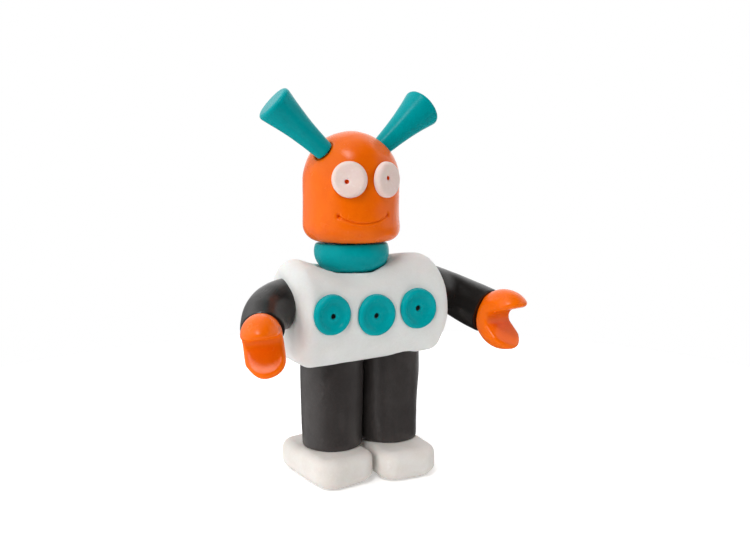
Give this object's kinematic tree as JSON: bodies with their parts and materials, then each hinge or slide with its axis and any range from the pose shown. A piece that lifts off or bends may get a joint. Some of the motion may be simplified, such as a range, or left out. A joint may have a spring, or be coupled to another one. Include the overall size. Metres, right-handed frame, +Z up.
{
  "type": "humanoid robot figure",
  "caption": "Small standing robot figure of hardened modelling clay: domed head with flared antennas, log torso, turning arms with claw hands, block feet.",
  "frame": {"origin": "on the ground, under the middle of the whole figure", "axes": "+Z up, the figure faces -Y, its left hand is on the +X side"},
  "size_m": [0.0818, 0.033, 0.099],
  "materials": {
    "white_clay": "hardened modelling clay, satin, slightly translucent",
    "orange_clay": "hardened modelling clay, satin",
    "teal_clay": "hardened modelling clay, satin",
    "black_clay": "hardened modelling clay, satin",
    "pin_wood": "bare birch toothpick"
  },
  "bodies": {
    "torso": {"torso": "white_clay", "neck": "teal_clay", "neck_pin": "pin_wood", "right_button": "teal_clay", "middle_button": "teal_clay", "left_button": "teal_clay", "right_shoulder_pin": "pin_wood", "left_shoulder_pin": "pin_wood", "right_leg": "black_clay", "left_leg": "black_clay", "right_leg_dowel": "pin_wood", "left_leg_dowel": "pin_wood", "right_foot": "white_clay", "left_foot": "white_clay"},
    "head": {"head": "orange_clay", "right_eye": "white_clay", "left_eye": "white_clay", "right_antenna_pin": "pin_wood", "left_antenna_pin": "pin_wood"},
    "right_antenna": {"right_antenna": "teal_clay"},
    "left_antenna": {"left_antenna": "teal_clay"},
    "right_arm": {"right_arm": "black_clay", "right_wrist_pin": "pin_wood"},
    "left_arm": {"left_arm": "black_clay", "left_wrist_pin": "pin_wood"},
    "right_hand": {"right_hand": "orange_clay"},
    "left_hand": {"left_hand": "orange_clay"}
  },
  "joints": [
    {"name": "head_turn", "type": "hinge", "parent": "torso", "child": "head", "pos_m": [-0.00521, 0.00309, 0.06], "axis": [0, 0, 1], "continuous": true},
    {"name": "right_shoulder", "type": "hinge", "parent": "torso", "child": "right_arm", "pos_m": [-0.02391, 0.00179, 0.0456], "axis": [1, 0, 0], "continuous": true},
    {"name": "right_wrist", "type": "hinge", "parent": "right_arm", "child": "right_hand", "pos_m": [-0.03295, -0.00555, 0.04093], "axis": [-0.3497, -0.8238, -0.4462], "continuous": true},
    {"name": "right_antenna_twist", "type": "hinge", "parent": "head", "child": "right_antenna", "pos_m": [-0.01411, -0.00031, 0.0827], "axis": [-0.7656, 0.0267, 0.6428], "continuous": true},
    {"name": "left_shoulder", "type": "hinge", "parent": "torso", "child": "left_arm", "pos_m": [0.01769, 0.00349, 0.0473], "axis": [1, 0, 0], "continuous": true},
    {"name": "left_wrist", "type": "hinge", "parent": "left_arm", "child": "left_hand", "pos_m": [0.0339, -0.00362, 0.03988], "axis": [0.2013, -0.947, -0.2504], "continuous": true},
    {"name": "left_antenna_twist", "type": "hinge", "parent": "head", "child": "left_antenna", "pos_m": [0.00259, 0.00219, 0.084], "axis": [0.7656, 0.0267, 0.6428], "continuous": true}
  ]
}
